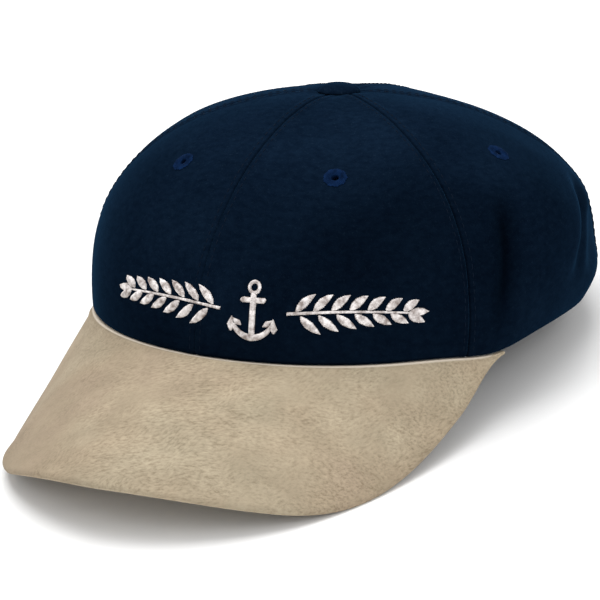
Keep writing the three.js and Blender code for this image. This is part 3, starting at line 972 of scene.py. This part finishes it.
def place_on_front(x, y, height):
    """Carries flat motif points onto the crown: x is laid off round the crown from the motif's middle, at
    one level, y straight up from the hem, and height stands off the cloth. The share of the crown's height
    is found by stepping towards the distance that it has to reach."""
    table = np.linspace(-70, 100, 800) * DEG
    travelled = path_length(crown(table, np.full_like(table, MOTIF_LEVEL)), 0)
    travelled = travelled - np.interp(0, table, travelled)
    around = np.interp(x + MOTIF_MIDDLE, travelled, table)
    rise = y + MOTIF_HEIGHT
    up = rise / PANEL_HEIGHT
    foot = crown(around, np.zeros_like(up))
    for _ in range(5):
        reached = np.linalg.norm(crown(around, up) - foot, axis=-1)
        ahead = np.linalg.norm(crown(around, up + 0.01) - foot, axis=-1)
        up = up + (rise - reached) * 0.01 / (ahead - reached)
    line = crown(around, up)
    slack = cloth_relief(line, around, up, FAR, FAR)
    return line + (height + slack)[..., None] * crown_normal(around, up)


def satin_pad(path, half_width):
    """A bar of satin stitch along a flat path: half_width gives its half-width at shares of its length,
    the threads are ridges across it by a cosine, and its top is a rounded pad, lower where it is narrow."""
    travelled = path_length(path, 0)
    count = max(int(travelled[-1] / THREAD_PITCH) * 4, 12)
    share = np.linspace(0, 1, count)
    x = np.interp(share * travelled[-1], travelled, path[:, 0])
    y = np.interp(share * travelled[-1], travelled, path[:, 1])
    ahead = unit(np.stack([np.gradient(x), np.gradient(y)], -1))
    side = np.stack([-ahead[:, 1], ahead[:, 0]], -1)
    across = np.linspace(-1, 1, 11)[None, :]
    width = np.interp(share, *half_width)[:, None]
    uneven = 1 + 0.05 * np.sin(share * count * 0.9)[:, None]
    lean = THREAD_SLANT * across * width
    px = x[:, None] + side[:, :1] * across * width * uneven + ahead[:, :1] * lean
    py = y[:, None] + side[:, 1:] * across * width * uneven + ahead[:, 1:] * lean
    ridge = THREAD_RISE * np.cos(share * travelled[-1] / THREAD_PITCH * 2 * math.pi)[:, None]
    dome = np.sqrt(np.clip(1 - across**2, 0, 1)) ** 0.8
    filling = np.clip(width / PAD_FULL_WIDTH, 0.35, 1)
    top = PAD_SEAT + dome * (PAD_RISE * filling + ridge)
    front = place_on_front(px, py, top + 0 * px)
    back = place_on_front(px, py, np.full(px.shape, -PAD_SINK))
    return closed_sheet(front[:, ::-1], back[:, ::-1])


def flat_line(*points):
    """A straight path through its points, in the motif's plane."""
    return np.array(points, float)


def flat_arc(middle, radius, start, end):
    """An arc round its middle from one angle to another, in degrees."""
    turn = np.linspace(start, end, 40) * DEG
    return np.stack([middle[0] + radius * np.cos(turn), middle[1] + radius * np.sin(turn)], -1)


def widened(widths, factor):
    """A bar's half-widths, each so many times as wide."""
    return widths[0], tuple(w * factor for w in widths[1])


def anchor_pads():
    """A plain anchor, 21 mm high: shank, stock, ring, two arms and their flukes."""
    yield satin_pad(flat_line((0, -8.6), (0, 6.4)), widened(BAR, 1.15))
    yield satin_pad(flat_line((-4.6, 3.9), (4.6, 3.9)), BAR)
    yield satin_pad(flat_arc((0, 8.3), 1.9, -90, 270), ROPE)
    for side in (-1, 1):
        arm = flat_arc((0, -1.4), 7.6, -90, -24)
        arm[:, 0] *= side
        yield satin_pad(arm, ARM)
        tip = arm[-1]
        yield satin_pad(flat_line(tip + (0.9 * side, -2.6), tip + (0.7 * side, 2.4)), FLUKE)
        yield satin_pad(flat_line(tip + (-2.9 * side, -0.4), tip + (0.7 * side, 2.0)), widened(FLUKE, 0.7))


def stem_bend(out):
    """How far a spray's stem lies above the motif's middle line: a sine of the distance along it."""
    return SPRAY_BEND * np.sin((out - SPRAY_START) / SPRAY_BEND_LENGTH)


def leaf_path(pair, turn):
    """The middle line of one leaf, above the stem or below it: it leans outwards and curls back, the sum
    of short steps whose angle falls evenly."""
    foot = LEAF_START + LEAF_PITCH * pair
    length = LEAF_LENGTH - LEAF_SHORTENING * pair
    lean = (LEAF_LEAN - LEAF_LEAN_STEP * pair) * DEG
    curl = lean * (1 - LEAF_CURL * np.linspace(0, 1, LEAF_POINTS))
    x = foot + (0.8 if turn > 0 else 2.6) + np.cumsum(np.cos(curl)) * length / LEAF_POINTS
    y = stem_bend(foot) + turn * (0.5 + np.cumsum(np.sin(curl)) * length / LEAF_POINTS)
    return x, y


def spray_pads():
    """A leafy spray on each side of the anchor: a wavy stem with pairs of leaves that grow smaller
    outwards, and a leaf at its tip."""
    out = np.linspace(SPRAY_START, SPRAY_END, 60)
    end = stem_bend(SPRAY_END)
    for side in (-1, 1):
        yield satin_pad(np.stack([side * out, stem_bend(out)], -1), STEM)
        for pair in range(LEAF_PAIRS):
            for turn in (-1, 1):
                x, y = leaf_path(pair, turn)
                yield satin_pad(np.stack([side * x, y], -1), LEAF)
        tip = (side * (SPRAY_END + 7.5), end * 0.4)
        yield satin_pad(flat_line((side * SPRAY_END, end), tip), LEAF)


def embroidery(material):
    """The whole motif as one piece."""
    points, faces = joined([*anchor_pads(), *spray_pads()])
    motif = make_piece("embroidered_motif", to_table(points), faces, material)
    place(motif, "motif_thread")


# Peak

def suede_peak(material):
    """The peak: its upper face and, a board's thickness behind, its lower one. Its edge is rounded by a
    quarter circle, a slim roll runs along the crown, and a tongue reaches under the crown's wall."""
    along = np.linspace(-1, 1, PEAK_COLUMNS)[:, None]
    root = peak_face(along, np.zeros_like(along))
    edge = peak_face(along, np.ones_like(along))
    length = np.hypot(edge[..., 0] - root[..., 0], edge[..., 1] - root[..., 1])
    thickness = PEAK_THICKNESS + (PEAK_END_THICKNESS - PEAK_THICKNESS) * along**8
    curve = np.minimum(thickness / 2, 0.8 * length)
    flat = (1 - curve / length) * np.linspace(0, 1, PEAK_ROWS)[None, :] ** 1.35
    turn = np.linspace(0, 0.97 * math.pi / 2, PEAK_EDGE_ROWS)[None, 1:]
    rounded = 1 - curve / length * (1 - np.sin(turn))
    out = np.concatenate([flat, rounded], 1)
    face = peak_face(along + 0 * out, out)
    normal = board_normal(face[..., 0], face[..., 1])
    sink = np.concatenate([0 * flat, thickness / 2 * (1 - np.cos(turn))], 1)
    soft = smoothstep(out, 0.02, 0.25) * (1 - smoothstep(out, 0.9, 1.0))
    uneven = PEAK_WAVE * soft * waves(face, PEAK_WAVE_PITCH, 21)
    from_crown = (out * length - PEAK_ROOT_ROLL_AT) / PEAK_ROOT_ROLL_WIDTH
    roll = PEAK_ROOT_ROLL * np.exp(-(from_crown**2))
    front = face + (uneven + roll - sink)[..., None] * normal
    back = face + (0.5 * uneven + sink - thickness)[..., None] * normal
    tongue = root[:, :1] - CLOTH_THICKNESS * rim_outward(PEAK_END * along)
    front = np.concatenate([tongue, front], 1)
    back = np.concatenate([tongue - thickness[..., None] * normal[:, :1], back], 1)
    points, faces = closed_sheet(front, back)
    # The painted highlight line by the crown grows slimmer towards both ends, and stops short of their tips
    at_end = 0.3 * smoothstep(np.abs(along), 0.45, 0.9) + 6 * smoothstep(np.abs(along), 0.95, 0.99)
    distance = np.concatenate([-CLOTH_THICKNESS + 0 * length, out * length + at_end], 1)
    places = np.stack([path_length(edge, 0) + 0 * distance, distance], -1).reshape(-1, 2)
    places = np.concatenate([places, places + (0, PEAK_UNDERSIDE_AWAY)]) * MM
    beside = SUEDE_RIGHT_SHADE * smoothstep(-along, -0.05, 0.45)
    in_front = SUEDE_FRONT_SHADE * smoothstep(out, 0.6, 1)
    shade = np.concatenate([0 * length, 1 - (1 - beside) * (1 - in_front)], 1)
    shades = np.stack([shade, 0 * shade])
    piece = make_piece("suede_peak", to_table(points), faces, material, places, shades)
    place(piece, "tan_suede", "peak")


# Stage, light and camera

def stage():
    """A square floor at the table's height."""
    points = FLOOR_HALF * np.array([[-1, -1, 0], [1, -1, 0], [1, 1, 0], [-1, 1, 0]])
    floor = make_piece("floor", points, np.array([[0, 1, 2, 3]]), pale_floor())


def set_axes(rotated, right, up, back, place_at):
    """Stands an object at a place, with its X, Y and Z along three directions."""
    matrix = [[right[i], up[i], back[i], place_at[i]] for i in range(3)] + [[0, 0, 0, 1]]
    rotated.matrix_world = [list(column) for column in zip(*matrix)]


def softbox(name, place_at, size, power):
    """A square light that faces the middle of the cap: its back points from there to its place."""
    data = bpy.data.lights.new(name, "AREA")
    data.shape = "SQUARE"
    data.size = size
    data.energy = power
    light = bpy.data.objects.new(name, data)
    bpy.context.scene.collection.objects.link(light)
    back = unit(np.array(place_at) - np.array(CAP_MIDDLE))
    right = unit(np.cross((0, 0, 1), back))
    set_axes(light, right, np.cross(back, right), back, place_at)


def studio_light():
    """A pale, even sky and three softboxes."""
    world = bpy.data.worlds.new("studio")
    world.use_nodes = True
    background = world.node_tree.nodes["Background"]
    background.inputs["Color"].default_value = (1, 1, 1, 1)
    background.inputs["Strength"].default_value = 0.8
    bpy.context.scene.world = world
    for name, (place_at, size, power) in SOFTBOXES.items():
        softbox(name, place_at, size, power)
    bpy.context.scene.view_settings.view_transform = "Standard"


def photo_camera():
    """The photograph's view: its direction is set against the level rim and tips back with the cap."""
    cos_up = math.cos(VIEW_ELEVATION)
    back = np.array([
        math.sin(VIEW_AZIMUTH) * cos_up,
        -math.cos(VIEW_AZIMUTH) * cos_up,
        math.sin(VIEW_ELEVATION),
    ])
    right = np.array([math.cos(VIEW_AZIMUTH), math.sin(VIEW_AZIMUTH), 0])
    up = np.cross(back, right)
    origin = to_table(np.zeros(3))
    axes = [unit(to_table(axis) - origin) for axis in (right, up, back)]
    data = bpy.data.cameras.new("photo_view")
    data.sensor_width = 36
    data.lens = VIEW_LENS
    data.clip_start = 0.05
    data.clip_end = 20
    camera = bpy.data.objects.new("photo_view", data)
    bpy.context.scene.collection.objects.link(camera)
    set_axes(camera, *axes, to_table(VIEW_TARGET + VIEW_DISTANCE * back))
    bpy.context.scene.camera = camera


def build_cap():
    """All of the cap's pieces, each kind with its own finish."""
    twill = navy_twill()
    for name, (start, end) in PANELS.items():
        crown_panel(name, start, end, twill)
    eyelet_thread = satin_thread(
        "navy_eyelet_thread", (0.0018, 0.0080, 0.027), (0.0036, 0.0160, 0.056), 0.8, 0.0, 0.02)
    for name, (angle, up) in EYELETS.items():
        eyelet(name, angle, up, eyelet_thread)
    cap_button(twill)
    seam_thread = satin_thread(
        "navy_seam_thread", (0.0018, 0.0050, 0.0125), (0.0032, 0.0082, 0.0185), 0.8, 0.0, 0.05)
    seam_stitches(seam_thread)
    motif_thread = satin_thread(
        "pale_motif_thread", (0.25, 0.20, 0.18), (0.92, 0.875, 0.86), 0.42, 0.25)
    embroidery(motif_thread)
    suede_peak(tan_suede())


photo_camera()
build_cap()
stage()
studio_light()
